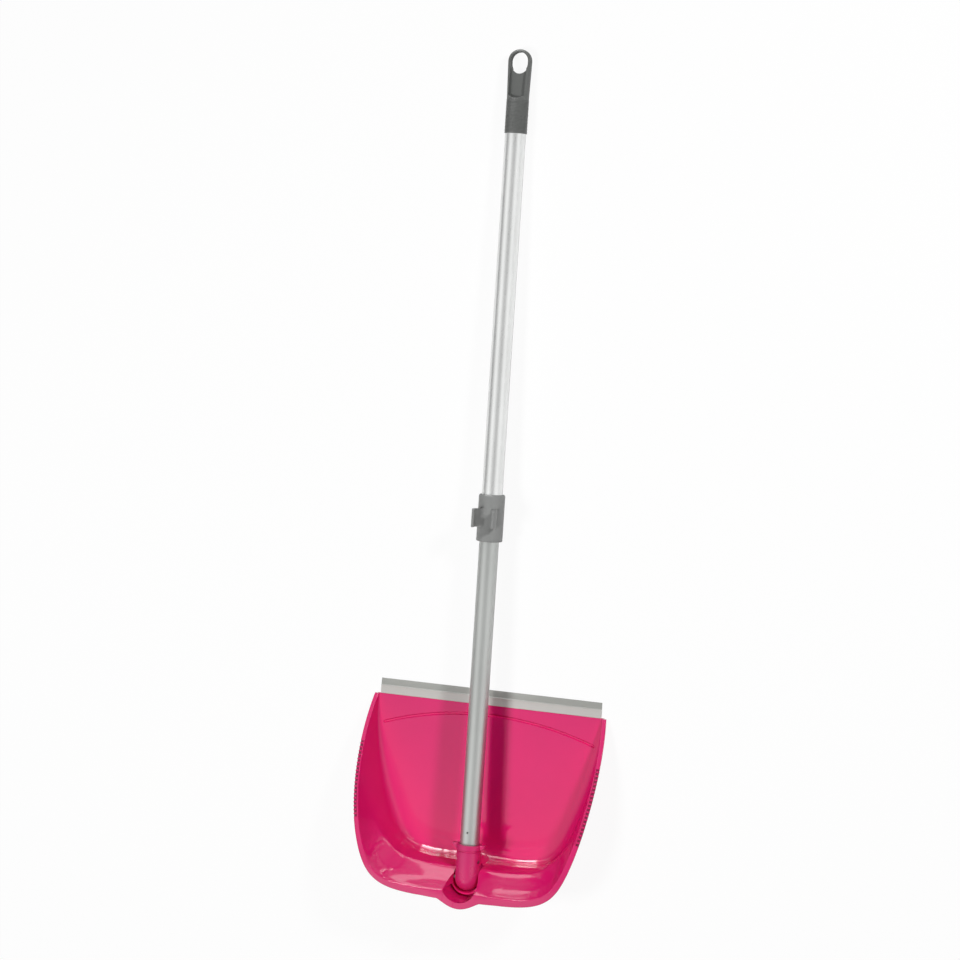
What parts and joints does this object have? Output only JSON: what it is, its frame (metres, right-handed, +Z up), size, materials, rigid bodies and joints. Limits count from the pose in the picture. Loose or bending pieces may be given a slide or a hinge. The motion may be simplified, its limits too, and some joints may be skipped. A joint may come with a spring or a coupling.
{
  "type": "lobby dustpan",
  "caption": "Long-handled dustpan: moulded scoop with a soft front lip and combed rims, folding on a pin, with a twist-locked telescopic handle, a broom clip and a hanging grip.",
  "frame": {"origin": "on the pan's flat underside, in its middle plane, behind the front edge", "axes": "+X to the right, +Y from the pan's back to its mouth and along the folded handle, +Z up"},
  "size_m": [0.2698, 0.9075, 0.082],
  "materials": {
    "pan": "glossy pink moulding",
    "socket": "satin pink moulding",
    "lip": "soft grey",
    "tube": "satin",
    "collar": "mid grey",
    "grip": "dark grey",
    "steel": "zinc plated",
    "lock": "white"
  },
  "bodies": {
    "pan": {"pan": "pan", "lip_blade": "lip", "hinge_pin": "steel"},
    "lower_handle": {"handle_socket": "socket", "socket_screw": "steel", "lower_tube": "tube", "cam_core": "lock", "cam_washer": "steel", "cam_screw": "steel"},
    "cam": {"cam_sleeve": "lock"},
    "upper_handle": {"collar": "collar", "upper_tube": "tube", "grip": "grip"}
  },
  "joints": [
    {"name": "fold", "type": "hinge", "parent": "pan", "child": "lower_handle", "pos_m": [0, -0.1045, 0.0505], "axis": [1, 0, 0], "range_deg": [0, 99]},
    {"name": "twist", "type": "hinge", "parent": "lower_handle", "child": "cam", "pos_m": [0, 0.35501, 0.02929], "axis": [0, 0.9989, -0.0461], "range_deg": [0, 90]},
    {"name": "slide", "type": "slide", "parent": "cam", "child": "upper_handle", "axis": [0, 0.9989, -0.0461], "range_m": [-0.3, 0.04]}
  ]
}
